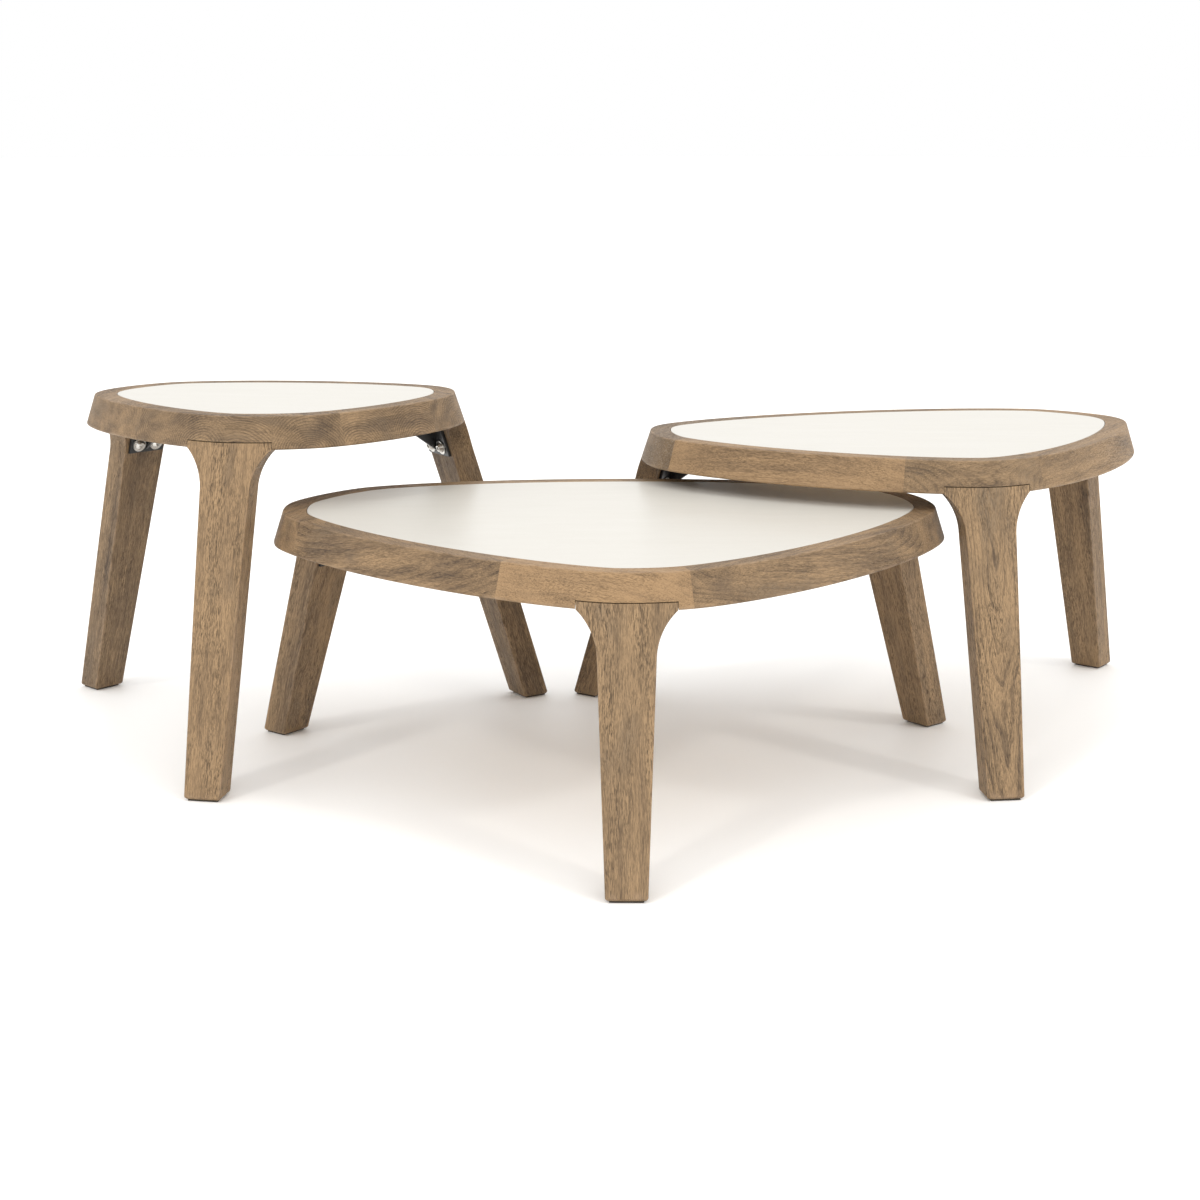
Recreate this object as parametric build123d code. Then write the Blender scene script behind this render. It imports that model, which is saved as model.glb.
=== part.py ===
from build123d import *
import math
import os

# Three nesting tables: a low large one, a medium one whose top passes over the
# large one's right end, and a small tall one whose top passes over its left end.
# Every table is a glued-up wooden frame ring with sloped sides, a mineral inlay
# on a plywood base board, and three splayed legs held by steel brackets.
# Millimetres, +Z up, floor at Z = 0, +X along the longest extent of the set.

# ---------------------------------------------------------------- driving sizes
FRAME_T = 40.5        # thickness of the frame ring
BORDER = 22.8         # flat wooden border round the inlay, at its narrowest
FLARE = 13.2          # the ring's foot stands this far outside its top edge
EASE_TOP = 1.6        # eased edge round the top
EASE_FOOT = 3.2       # eased edge round the underside
INLAY_T = 6.0         # mineral inlay
BASE_T = 12.0         # plywood base board below the inlay
INLAY_GAP = 0.4       # joint line between inlay and ring
RING_LEDGE = 60.0     # mean width of the ring inside the inlay's edge
HEAD_W = 110.0        # width of a leg's T-shaped head
HEAD_UP = 8.5         # how far the head is let up into the ring
STEM_W = 64.0         # width of the leg just below the head
STEM_DROP = 50.0      # height of the curved flare below the ring
FOOT_W = 46.0         # width of the leg at the floor
LEG_T = 39.5          # radial thickness of a leg
FOOT_EASE = 4.0       # eased edges round the foot
GLIDE_T = 2.0         # glide under each foot
BRACKET_W = 54.0      # width of a leg bracket
BRACKET_H = 50.0      # height of its flange on the leg
BRACKET_L = 50.0      # length of its flange under the ring
BRACKET_T = 4.0       # plate thickness
BOLT_X = 13.6         # bolts this far each side of the bracket's middle
BOLT_UP = 13.0        # bolts this far above the flange's lower edge
BOLT_R = 4.0          # M8 leg bolts
BOLT_LEN = 30.0
BOLT_HEAD_R = 7.0
BOLT_HEAD_H = 4.4
WASHER_R = 10.0
WASHER_T = 1.6
INSERT_R = 6.0        # threaded insert in the leg
INSERT_LEN = 18.0
SCREW_R = 2.2         # countersunk wood screws, bracket to ring
SCREW_LEN = 18.0
SCREW_HEAD_R = 4.2
TENON = (40.0, 22.0, 8.0)   # loose tenon: along the ring, across it, thickness
TENON_FIT = 0.1
SLOPE = FLARE / FRAME_T     # sides of ring and legs share this slope

# Each outline is a closed curve given by its support function
# p(a) = c0 + sum(an cos(n a) + bn sin(n a)), n = 2, 3, ..., so every offset of it
# is exact. Angles are the directions the outline faces, in degrees. "joints" are
# where the ring's pieces meet; each is named after the piece that follows it.
# "wide" is how much wider than BORDER the wood gets at the left and right ends.
TABLES = {
    "large": dict(
        h=334.2, at=(17.2, 2530.2), wide=(6.2, 3.5),
        c=[327.1, 51.7, 2.8, -6.5, 32.1, 4.2, 2.7, 1.3, -9.4, 2.3, 0.1, 1.1, 0.2, -1.9, -1.2, -0.1, 0.4],
        legs=dict(front=269.7, right=40.0, left=142.7),
        joints=[("front_left_rail", 214.8), ("front_corner", 238.0), ("front_right_rail", 291.5),
                ("right_corner", 330.0), ("back_rail", 78.0), ("left_corner", 110.0)]),
    "medium": dict(
        h=396.8, at=(408.9, 2806.4), wide=(3.4, 6.3),
        c=[259.7, 47.1, 20.7, -17.6, 18.6, 1.1, 2.1, 8.4, -0.8, -0.6, 1.1, -0.8, 0.1, 0.5, -1.1, 0.1, -0.1],
        legs=dict(front=276.9, right=52.4, left=146.8),
        joints=[("front_left_rail", 220.8), ("front_corner", 255.5), ("right_rail", 309.0),
                ("right_corner", 350.0), ("back_rail", 95.0), ("left_corner", 115.0)]),
    "small": dict(
        h=450.0, at=(-431.2, 2759.3), wide=(5.8, 4.3),
        c=[185.9, 27.7, -3.6, -0.4, 16.4, 1.5, 2.8, -2.1, -2.9, 1.8, -0.5, 1.0, -0.4, -1.0, -0.1, -0.2, 0.0],
        legs=dict(front=259.9, right=33.3, left=137.0),
        joints=[("front_corner", 226.0), ("right_rail", 306.5), ("right_corner", 329.5),
                ("back_rail", 80.0), ("left_corner", 100.0)]),
}
ORIGIN = (8.8, 2593.9)   # middle of the set's footprint box, in the outlines' coordinates


# ---------------------------------------------------------------- outlines
def support(c, a):
    p, dp = c[0], 0.0
    for i in range(1, len(c), 2):
        n = (i + 3) // 2
        p += c[i] * math.cos(n * a) + c[i + 1] * math.sin(n * a)
        dp += n * (c[i + 1] * math.cos(n * a) - c[i] * math.sin(n * a))
    return p, dp


def point(c, at, off, a):
    p, dp = support(c, a)
    p += off
    return (at[0] - ORIGIN[0] + p * math.cos(a) - dp * math.sin(a),
            at[1] - ORIGIN[1] + p * math.sin(a) + dp * math.cos(a))


def inner_c(c):
    # the ring's inner opening: the same curve drawn in, with softer corners
    out = [c[0] - RING_LEDGE]
    soft = {2: 0.5, 3: 0.35}
    for i in range(1, len(c), 2):
        k = soft.get((i + 3) // 2, 0.0)
        out += [c[i] * k, c[i + 1] * k]
    return out


def inlay_curve(tb):
    # the inlay's outline: drawn in a little further at the left and right ends
    left, right = tb["wide"]
    m, d = (left + right) / 2, (right - left) / 2
    c = list(tb["c"])
    c[0] -= m / 2
    c[1] -= m / 2
    c[3] -= d / 4
    return c, (tb["at"][0] - 0.75 * d, tb["at"][1])


def side_off(h, z):
    # offset of the sloped side from the inlay's edge, at height z
    return BORDER + SLOPE * (h - z)


def arc(c, at, off, a0, a1, z, step=5.0):
    # part of an outline between two directions, as one spline edge
    n = max(4, math.ceil(math.degrees(abs(a1 - a0)) / step))
    pts = [Vector(*point(c, at, off, a0 + (a1 - a0) * i / n), z) for i in range(n + 1)]
    return Edge.make_spline(pts, parameters=[i / n for i in range(n + 1)])


def closed(c, at, off, z, n=72):
    pts = [Vector(*point(c, at, off, 2 * math.pi * i / n), z) for i in range(n)]
    return Wire([Edge.make_spline(pts, periodic=True, parameters=[i / n for i in range(n + 1)])])


def slab(c, at, off, z0, z1):
    return extrude(Face(closed(c, at, off, z0)), amount=z1 - z0, dir=(0, 0, 1))


def meet(tb, a, ci, ati):
    # where the straight line in from the outline at angle a meets another curve
    px, py = point(tb["c"], tb["at"], 0.0, a)
    nx, ny = math.cos(a), math.sin(a)

    def miss(b):
        x, y = point(ci, ati, 0.0, b)
        return (x - px) * -ny + (y - py) * nx
    lo, hi = a - 1.2, a + 1.2
    for _ in range(60):
        mid = (lo + hi) / 2
        if (miss(mid) > 0) == (miss(hi) > 0):
            hi = mid
        else:
            lo = mid
    return (lo + hi) / 2


def angle_at(tb, a, t):
    # the outline's direction at the point lying t along the outline from angle a
    c, at = tb["c"], tb["at"]
    off = side_off(tb["h"], tb["h"] - FRAME_T)
    px, py = point(c, at, off, a)
    lo, hi = (a, a + 1.45) if t > 0 else (a - 1.45, a)
    for _ in range(60):
        mid = (lo + hi) / 2
        x, y = point(c, at, off, mid)
        if (x - px) * -math.sin(a) + (y - py) * math.cos(a) > t:
            hi = mid
        else:
            lo = mid
    return (lo + hi) / 2


# ---------------------------------------------------------------- local frames
def leg_plane(tb, a, z):
    # x outward, y along the outline, z up; origin on the ring's lower outer edge
    x, y = point(tb["c"], tb["at"], side_off(tb["h"], tb["h"] - FRAME_T), a)
    return Plane(origin=(x, y, z), x_dir=(math.cos(a), math.sin(a), 0), z_dir=(0, 0, 1))


def across(plane, pts, half):
    # a profile in (outward, up), extruded both ways along the outline
    pl = Plane(origin=plane.origin - plane.y_dir * half, x_dir=plane.x_dir, z_dir=-plane.y_dir)
    return extrude(pl * Polygon(*pts, align=None), amount=2 * half, dir=plane.y_dir)


def facing(plane, pts, n0, n1):
    # a profile in (along the outline, up), extruded from n0 to n1 outward
    pl = Plane(origin=plane.origin + plane.x_dir * n0, x_dir=plane.y_dir, z_dir=plane.x_dir)
    return extrude(pl * Polygon(*pts, align=None), amount=n1 - n0, dir=plane.x_dir)


# ---------------------------------------------------------------- ring
def ring_piece(tb, a0, a1):
    # one glued piece of the ring: a lower part as wide as the ledge, and an upper
    # part that stops at the inlay's edge, between two flat joint faces
    c, at, h = tb["c"], tb["at"], tb["h"]
    a0, a1 = math.radians(a0), math.radians(a1)
    if a1 < a0:
        a1 += 2 * math.pi
    ci = inner_c(c)
    cn, atn = inlay_curve(tb)
    b0, b1 = meet(tb, a0, ci, at), meet(tb, a1, ci, at)
    d0, d1 = meet(tb, a0, cn, atn), meet(tb, a1, cn, atn)

    def section(off, z, low):
        o = arc(c, at, off, a0, a1, z)
        i = arc(ci, at, 0.0, b0, b1, z) if low else arc(cn, atn, 0.0, d0, d1, z)
        return Wire([o, Edge.make_line(o @ 1, i @ 1), i, Edge.make_line(i @ 0, o @ 0)])
    z0, z1 = h - FRAME_T, h - INLAY_T - BASE_T
    low = Solid.make_loft([section(side_off(h, z0) - EASE_FOOT, z0, True),
                           section(side_off(h, z0 + EASE_FOOT), z0 + EASE_FOOT, True),
                           section(side_off(h, z1), z1, True)], True)
    top = Solid.make_loft([section(side_off(h, z1), z1, False),
                           section(side_off(h, h - EASE_TOP), h - EASE_TOP, False),
                           section(BORDER - EASE_TOP, h, False)], True)
    return low + top


def tenon(tb, a, grow):
    c, at, h = tb["c"], tb["at"], tb["h"]
    r = math.radians(a)
    x, y = point(c, at, side_off(h, h - FRAME_T), r)
    pl = Plane(origin=(x - math.cos(r) * 50.0, y - math.sin(r) * 50.0, h - FRAME_T + 15.0),
               x_dir=(-math.sin(r), math.cos(r), 0), z_dir=(0, 0, 1))
    return pl * Box(TENON[0] + 2 * grow, TENON[1] + 2 * grow, TENON[2] + 2 * grow)


# ---------------------------------------------------------------- leg
def leg_solid(tb, a):
    c, at, h = tb["c"], tb["at"], tb["h"]
    drop = h - FRAME_T
    pl = leg_plane(tb, a, drop)
    hw, sw, fw = HEAD_W / 2, STEM_W / 2, FOOT_W / 2
    dx = hw - sw
    rad = (STEM_DROP ** 2 + dx ** 2) / (2 * dx)
    flare = []
    t1 = math.asin(STEM_DROP / rad)
    for i in range(11):
        t = t1 * (1 - i / 10)
        flare.append((sw + rad * (1 - math.cos(t)), -STEM_DROP + rad * math.sin(t)))
    foot_z = GLIDE_T - drop
    right = [(hw, HEAD_UP)] + flare + [(fw, foot_z + FOOT_EASE), (fw - FOOT_EASE, foot_z)]
    front = right + [(-x, z) for x, z in reversed(right)]
    body = facing(pl, front, -LEG_T - 5, SLOPE * drop + 60)

    def n_out(z):
        return -SLOPE * z
    zc = foot_z + FOOT_EASE
    side = [
        (n_out(HEAD_UP) - LEG_T, HEAD_UP), (n_out(zc) - LEG_T, zc), (n_out(foot_z) - LEG_T + FOOT_EASE, foot_z),
        (n_out(foot_z) - FOOT_EASE, foot_z), (n_out(zc), zc), (n_out(zc) + 40, zc), (40, HEAD_UP)]
    body = body & across(pl, side, hw + 5)

    # the outer face carries on the ring's sloped side down to the floor
    a0, a1 = angle_at(tb, a, -hw - 12), angle_at(tb, a, hw + 12)

    def section(z):
        o = arc(c, at, side_off(h, z), a0, a1, z, 3.0)
        back = [pl.origin + pl.x_dir * -150.0 + pl.y_dir * t for t in (hw + 12, -hw - 12)]
        p = [Vector(v.X, v.Y, z) for v in back]
        return Wire([o, Edge.make_line(o @ 1, p[0]), Edge.make_line(p[0], p[1]), Edge.make_line(p[1], o @ 0)])
    return body & Solid.make_loft([section(0.0), section(drop + HEAD_UP + 2.0)], True)


def inner_face_plane(tb, a, t, down):
    # on the leg's inner face: x along the outline, z out of the face, away from the leg
    h = tb["h"]
    pl = leg_plane(tb, a, h - FRAME_T)
    o = pl.origin + pl.x_dir * (-LEG_T + SLOPE * down) + pl.y_dir * t - Vector(0, 0, 1) * down
    out = (pl.x_dir * -1.0 - Vector(0, 0, 1) * SLOPE).normalized()
    return Plane(origin=o, x_dir=pl.y_dir, z_dir=out)


# ---------------------------------------------------------------- hardware
def bolt_spots(tb, a):
    return [inner_face_plane(tb, a, t, BRACKET_H - BOLT_UP) for t in (-BOLT_X, BOLT_X)]


def screw_spots(tb, a):
    pl = leg_plane(tb, a, tb["h"] - FRAME_T)
    out = []
    for t in (-15.0, 15.0):
        for n in (-LEG_T - 17.0, -LEG_T - 39.0):
            out.append(Plane(origin=pl.origin + pl.x_dir * n + pl.y_dir * t, x_dir=pl.x_dir, z_dir=(0, 0, 1)))
    return out


def bracket_solid(tb, a):
    pl = leg_plane(tb, a, tb["h"] - FRAME_T)
    k = math.hypot(1.0, SLOPE)
    th = BRACKET_T * k
    n0 = -LEG_T
    upright = across(pl, [(n0, 0), (n0 + SLOPE * BRACKET_H, -BRACKET_H),
                          (n0 + SLOPE * BRACKET_H - th, -BRACKET_H), (n0 - th, 0)], BRACKET_W / 2)
    flat = across(pl, [(n0, 0), (n0 - BRACKET_L, 0), (n0 - BRACKET_L, -BRACKET_T),
                       (n0 + SLOPE * BRACKET_T, -BRACKET_T)], BRACKET_W / 2)
    rib = across(pl, [(n0 - 1, -1), (n0 - BRACKET_L + 3, -1), (n0 - BRACKET_L + 3, -BRACKET_T - 1.5),
                      (n0 + SLOPE * BRACKET_H - th - 1.5, -BRACKET_H + 4), (n0 + SLOPE * BRACKET_H - 1.5, -BRACKET_H + 4)],
                 BRACKET_T / 2)
    body = upright + flat + rib
    for p in bolt_spots(tb, a):
        body -= p * Cylinder(BOLT_R + 0.3, 4 * BRACKET_T)
    for p in screw_spots(tb, a):
        body -= p * Cylinder(SCREW_R + 0.3, 4 * BRACKET_T)
        body -= p * Pos(0, 0, -BRACKET_T) * Cone(SCREW_HEAD_R + 0.2, SCREW_R + 0.3, 2.4, align=(Align.CENTER, Align.CENTER, Align.MIN))
    return body


def bolt_solid(p):
    # button head with a hexagonal socket, shank running into the leg
    base = p * Pos(0, 0, BRACKET_T + WASHER_T)
    head = Cylinder(BOLT_HEAD_R, 1.4, align=(Align.CENTER, Align.CENTER, Align.MIN))
    head += Pos(0, 0, 1.4) * Cone(BOLT_HEAD_R, BOLT_HEAD_R * 0.60, BOLT_HEAD_H - 1.4, align=(Align.CENTER, Align.CENTER, Align.MIN))
    head -= Pos(0, 0, BOLT_HEAD_H - 2.6) * extrude(RegularPolygon(2.5 / math.cos(math.pi / 6), 6), amount=4)
    shank = Pos(0, 0, -BOLT_LEN) * Cylinder(BOLT_R, BOLT_LEN + 0.5, align=(Align.CENTER, Align.CENTER, Align.MIN))
    return base * (head + shank)


def washer_solid(p):
    return p * Pos(0, 0, BRACKET_T) * (
        Cylinder(WASHER_R, WASHER_T, align=(Align.CENTER, Align.CENTER, Align.MIN))
        - Cylinder(BOLT_R + 0.2, WASHER_T, align=(Align.CENTER, Align.CENTER, Align.MIN)))


def insert_solid(p):
    return p * Pos(0, 0, -1.0 - INSERT_LEN) * (
        Cylinder(INSERT_R, INSERT_LEN, align=(Align.CENTER, Align.CENTER, Align.MIN))
        - Cylinder(BOLT_R, INSERT_LEN, align=(Align.CENTER, Align.CENTER, Align.MIN)))


def screw_solid(p):
    head = Pos(0, 0, -BRACKET_T) * Cone(SCREW_HEAD_R, SCREW_R, 2.4, align=(Align.CENTER, Align.CENTER, Align.MIN))
    shank = Pos(0, 0, -BRACKET_T + 2.4) * Cylinder(SCREW_R, SCREW_LEN - 5.4, align=(Align.CENTER, Align.CENTER, Align.MIN))
    tip = Pos(0, 0, -BRACKET_T + SCREW_LEN - 3.0) * Cone(SCREW_R, 0.4, 3.0, align=(Align.CENTER, Align.CENTER, Align.MIN))
    slot = Pos(0, 0, -BRACKET_T) * (Box(4.4, 1.0, 2.4) + Box(1.0, 4.4, 2.4))
    return p * (head + shank + tip - slot)


def glide_solid(tb, a):
    drop = tb["h"] - FRAME_T
    pl = leg_plane(tb, a, 0.0)
    n_mid = SLOPE * (drop - GLIDE_T) - LEG_T / 2
    return Plane(origin=pl.origin + pl.x_dir * n_mid, x_dir=pl.x_dir, z_dir=(0, 0, 1)) * Pos(0, 0, GLIDE_T / 2) * Box(
        LEG_T - 2 * FOOT_EASE - 1.0, FOOT_W - 2 * FOOT_EASE - 1.0, GLIDE_T)


# ---------------------------------------------------------------- build
def build_table(name, tb):
    c, at, h = tb["c"], tb["at"], tb["h"]
    nodes = {}
    angles = {k: math.radians(v) for k, v in tb["legs"].items()}

    # taken out of the ring: seats for the leg heads, screw holes, tenon pockets
    cuts = []
    for a in angles.values():
        pl = leg_plane(tb, a, h - FRAME_T)
        n1 = -LEG_T - SLOPE * HEAD_UP
        cuts.append(across(pl, [(n1, -5), (n1, HEAD_UP), (60, HEAD_UP), (60, -5)], HEAD_W / 2))
        for p in screw_spots(tb, a):
            cuts.append(p * Pos(0, 0, -1) * Cylinder(SCREW_R, SCREW_LEN - BRACKET_T + 1.0, align=(Align.CENTER, Align.CENTER, Align.MIN)))
    cuts += [tenon(tb, a, TENON_FIT) for _, a in tb["joints"]]
    boxes = [s.bounding_box() for s in cuts]

    js = tb["joints"]
    for i, (seg, a0) in enumerate(js):
        piece = ring_piece(tb, a0, js[(i + 1) % len(js)][1])
        box = piece.bounding_box()
        for s, b in zip(cuts, boxes):
            if b.min.X < box.max.X and b.max.X > box.min.X and b.min.Y < box.max.Y and b.max.Y > box.min.Y:
                piece = piece - s
        nodes[f"{name}_ring_{seg}"] = piece

    cn, atn = inlay_curve(tb)
    nodes[f"{name}_inlay"] = slab(cn, atn, -INLAY_GAP, h - INLAY_T, h)
    nodes[f"{name}_base_board"] = slab(cn, atn, -INLAY_GAP, h - INLAY_T - BASE_T, h - INLAY_T)
    nodes[f"{name}_ring_tenons"] = [tenon(tb, a, 0.0) for _, a in js]

    bolts, washers, inserts, screws, glides = [], [], [], [], []
    for k, a in angles.items():
        leg = leg_solid(tb, a)
        for p in bolt_spots(tb, a):
            leg -= p * Pos(0, 0, -BOLT_LEN) * Cylinder(BOLT_R + 0.25, BOLT_LEN + 2, align=(Align.CENTER, Align.CENTER, Align.MIN))
            leg -= p * Pos(0, 0, -1.0 - INSERT_LEN) * Cylinder(INSERT_R, INSERT_LEN + 3, align=(Align.CENTER, Align.CENTER, Align.MIN))
            bolts.append(bolt_solid(p))
            washers.append(washer_solid(p))
            inserts.append(insert_solid(p))
        screws += [screw_solid(p) for p in screw_spots(tb, a)]
        glides.append(glide_solid(tb, a))
        nodes[f"{name}_leg_{k}"] = leg
        nodes[f"{name}_bracket_{k}"] = bracket_solid(tb, a)
    nodes[f"{name}_leg_bolts"] = bolts
    nodes[f"{name}_bolt_washers"] = washers
    nodes[f"{name}_leg_inserts"] = inserts
    nodes[f"{name}_bracket_screws"] = screws
    nodes[f"{name}_glides"] = glides
    return nodes


os.makedirs("parts", exist_ok=True)
for table, data in TABLES.items():
    for node, shape in build_table(table, data).items():
        solids = [x for s in shape for x in s.solids()] if isinstance(shape, list) else list(shape.solids())
        export_step(solids[0] if len(solids) == 1 else Compound(children=solids), f"parts/{node}.step")
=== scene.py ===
import math

import bmesh
import bpy
import numpy as np
from mathutils import Matrix, Vector


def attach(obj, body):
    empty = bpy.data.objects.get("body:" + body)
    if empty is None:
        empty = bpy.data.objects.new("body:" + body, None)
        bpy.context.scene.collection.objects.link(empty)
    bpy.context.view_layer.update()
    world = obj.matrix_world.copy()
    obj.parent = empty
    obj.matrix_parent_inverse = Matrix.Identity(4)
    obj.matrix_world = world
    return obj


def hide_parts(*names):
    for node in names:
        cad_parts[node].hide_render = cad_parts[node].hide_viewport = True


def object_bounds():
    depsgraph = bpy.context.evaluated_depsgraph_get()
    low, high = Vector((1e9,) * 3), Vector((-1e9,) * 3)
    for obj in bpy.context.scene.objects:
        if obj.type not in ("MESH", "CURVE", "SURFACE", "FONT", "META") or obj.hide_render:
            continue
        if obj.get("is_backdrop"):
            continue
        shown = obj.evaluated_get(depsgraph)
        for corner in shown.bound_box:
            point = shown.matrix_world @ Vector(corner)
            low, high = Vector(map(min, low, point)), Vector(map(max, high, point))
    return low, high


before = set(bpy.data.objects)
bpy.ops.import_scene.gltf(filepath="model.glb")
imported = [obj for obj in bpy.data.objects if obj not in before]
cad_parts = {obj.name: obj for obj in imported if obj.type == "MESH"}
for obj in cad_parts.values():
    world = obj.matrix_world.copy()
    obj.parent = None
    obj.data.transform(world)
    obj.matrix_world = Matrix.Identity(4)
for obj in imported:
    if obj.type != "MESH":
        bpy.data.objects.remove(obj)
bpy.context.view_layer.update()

# Three nesting tables in pale stone and brown hardwood. Lengths below are in
# millimetres until a mesh is made, and metres from there on.

# ---------------------------------------------------------------- sizes (as in the CAD source)
FRAME_T, BORDER, FLARE = 40.5, 22.8, 13.2
INLAY_T, BASE_T = 6.0, 12.0
RING_LEDGE = 60.0
HEAD_W, HEAD_UP, STEM_W, STEM_DROP, FOOT_W = 110.0, 8.5, 64.0, 50.0, 46.0
LEG_T, FOOT_EASE, GLIDE_T = 39.5, 4.0, 2.0
SLOPE = FLARE / FRAME_T
ORIGIN = (8.8, 2593.9)
TABLES = {
    "large": dict(
        h=334.2, at=(17.2, 2530.2), wide=(6.2, 3.5),
        c=[327.1, 51.7, 2.8, -6.5, 32.1, 4.2, 2.7, 1.3, -9.4, 2.3, 0.1, 1.1, 0.2, -1.9, -1.2, -0.1, 0.4],
        legs=dict(front=269.7, right=40.0, left=142.7),
        joints=[("front_left_rail", 214.8), ("front_corner", 238.0), ("front_right_rail", 291.5),
                ("right_corner", 330.0), ("back_rail", 78.0), ("left_corner", 110.0)]),
    "medium": dict(
        h=396.8, at=(408.9, 2806.4), wide=(3.4, 6.3),
        c=[259.7, 47.1, 20.7, -17.6, 18.6, 1.1, 2.1, 8.4, -0.8, -0.6, 1.1, -0.8, 0.1, 0.5, -1.1, 0.1, -0.1],
        legs=dict(front=276.9, right=52.4, left=146.8),
        joints=[("front_left_rail", 220.8), ("front_corner", 255.5), ("right_rail", 309.0),
                ("right_corner", 350.0), ("back_rail", 95.0), ("left_corner", 115.0)]),
    "small": dict(
        h=450.0, at=(-431.2, 2759.3), wide=(5.8, 4.3),
        c=[185.9, 27.7, -3.6, -0.4, 16.4, 1.5, 2.8, -2.1, -2.9, 1.8, -0.5, 1.0, -0.4, -1.0, -0.1, -0.2, 0.0],
        legs=dict(front=259.9, right=33.3, left=137.0),
        joints=[("front_corner", 226.0), ("right_rail", 306.5), ("right_corner", 329.5),
                ("back_rail", 80.0), ("left_corner", 100.0)]),
}

# How each piece of wood looks. tone: darker to lighter, warm: greyer to redder, ring: how
# strongly growth rings show, fleck: cross-hatched ray figure, pith: where the tree's
# middle lies from the piece's own middle (across, up) in mm, seed: which part of the tree.
WOOD = {
    "large_ring_front_left_rail": dict(tone=-0.06, warm=0.10, ring=0.40, fleck=0.0, pith=(60, -90), seed=3, turn=10),
    "large_ring_front_corner": dict(tone=0.36, warm=0.34, ring=0.32, fleck=0.0, pith=(40, 75), seed=11, turn=-9),
    "large_ring_front_right_rail": dict(tone=-0.08, warm=0.05, ring=0.42, fleck=0.0, pith=(-40, 60), seed=5, turn=-6),
    "large_ring_right_corner": dict(tone=-0.06, warm=0.15, ring=0.35, fleck=0.15, pith=(60, 60), seed=23, turn=0),
    "large_ring_back_rail": dict(tone=-0.02, warm=0.0, ring=0.35, fleck=0.0, pith=(60, -60), seed=7, turn=0),
    "large_ring_left_corner": dict(tone=-0.10, warm=0.22, ring=0.25, fleck=0.0, pith=(70, 60), seed=9, turn=0),
    "medium_ring_front_left_rail": dict(tone=0.14, warm=0.28, ring=0.22, fleck=0.0, pith=(80, 70), seed=13, turn=0),
    "medium_ring_front_corner": dict(tone=0.08, warm=-0.05, ring=0.50, fleck=0.15, pith=(20, -30), seed=17, turn=0),
    "medium_ring_right_rail": dict(tone=0.06, warm=0.05, ring=0.35, fleck=0.0, pith=(40, 60), seed=19, turn=0),
    "medium_ring_right_corner": dict(tone=0.04, warm=0.10, ring=0.45, fleck=0.0, pith=(30, 40), seed=21, turn=0),
    "medium_ring_back_rail": dict(tone=0.0, warm=0.0, ring=0.35, fleck=0.0, pith=(60, 60), seed=25, turn=0),
    "medium_ring_left_corner": dict(tone=-0.22, warm=-0.38, ring=0.30, fleck=1.0, pith=(60, -50), seed=27, turn=0),
    "small_ring_front_corner": dict(tone=-0.06, warm=-0.05, ring=0.75, fleck=0.0, pith=(30, -30), seed=29, turn=0,
                                    arcs=[(243.0, -50.0), (266.0, -62.0), (291.0, -52.0)]),
    "small_ring_right_rail": dict(tone=-0.02, warm=0.02, ring=0.80, fleck=0.0, pith=(30, -20), seed=31, turn=0,
                                  arcs=[(311.0, -50.0), (325.0, -60.0)]),
    "small_ring_right_corner": dict(tone=-0.04, warm=-0.12, ring=0.65, fleck=0.0, pith=(40, -20), seed=33, turn=0,
                                    arcs=[(347.0, -55.0), (20.0, -50.0)]),
    "small_ring_back_rail": dict(tone=0.0, warm=0.0, ring=0.40, fleck=0.0, pith=(60, 60), seed=35, turn=0),
    "small_ring_left_corner": dict(tone=0.02, warm=0.02, ring=0.60, fleck=0.0, pith=(40, -20), seed=37, turn=0,
                                   arcs=[(200.0, -55.0), (160.0, -48.0)]),
    "large_leg_front": dict(tone=0.06, warm=-0.05, ring=0.16, pith=(70, 160), seed=41, turn=1.0),
    "large_leg_right": dict(tone=0.04, warm=0.12, ring=0.18, pith=(90, 120), seed=43, turn=0.0),
    "large_leg_left": dict(tone=0.0, warm=0.05, ring=0.35, pith=(30, 60), seed=45, turn=1.5),
    "medium_leg_front": dict(tone=0.24, warm=-0.04, ring=0.85, pith=(4, 40), seed=47, turn=4.5),
    "medium_leg_right": dict(tone=-0.06, warm=0.12, ring=0.15, pith=(90, 110), seed=49, turn=0.0),
    "medium_leg_left": dict(tone=-0.12, warm=0.05, ring=0.2, pith=(80, 100), seed=51, turn=0.0),
    "small_leg_front": dict(tone=0.16, warm=0.08, ring=0.14, pith=(60, 180), seed=53, turn=-0.8),
    "small_leg_right": dict(tone=-0.08, warm=-0.02, ring=0.25, pith=(70, 110), seed=55, turn=0.0),
    "small_leg_left": dict(tone=-0.16, warm=-0.02, ring=0.22, pith=(60, 120), seed=57, turn=0.0),
}


# ---------------------------------------------------------------- outlines
def support(c, a):
    a = np.asarray(a, float)
    p, dp = np.full(a.shape, c[0]), np.zeros(a.shape)
    for i in range(1, len(c), 2):
        n = (i + 3) // 2
        p = p + c[i] * np.cos(n * a) + c[i + 1] * np.sin(n * a)
        dp = dp + n * (c[i + 1] * np.cos(n * a) - c[i] * np.sin(n * a))
    return p, dp


def outline(c, at, off, a):
    # points of the outline drawn out by off, where it faces the directions a
    a = np.asarray(a, float)
    p, dp = support(c, a)
    p = p + off
    x = at[0] - ORIGIN[0] + p * np.cos(a) - dp * np.sin(a)
    y = at[1] - ORIGIN[1] + p * np.sin(a) + dp * np.cos(a)
    return np.stack([x, y], -1)


def inner_c(c):
    out = [c[0] - RING_LEDGE]
    soft = {2: 0.5, 3: 0.35}
    for i in range(1, len(c), 2):
        k = soft.get((i + 3) // 2, 0.0)
        out += [c[i] * k, c[i + 1] * k]
    return out


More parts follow.
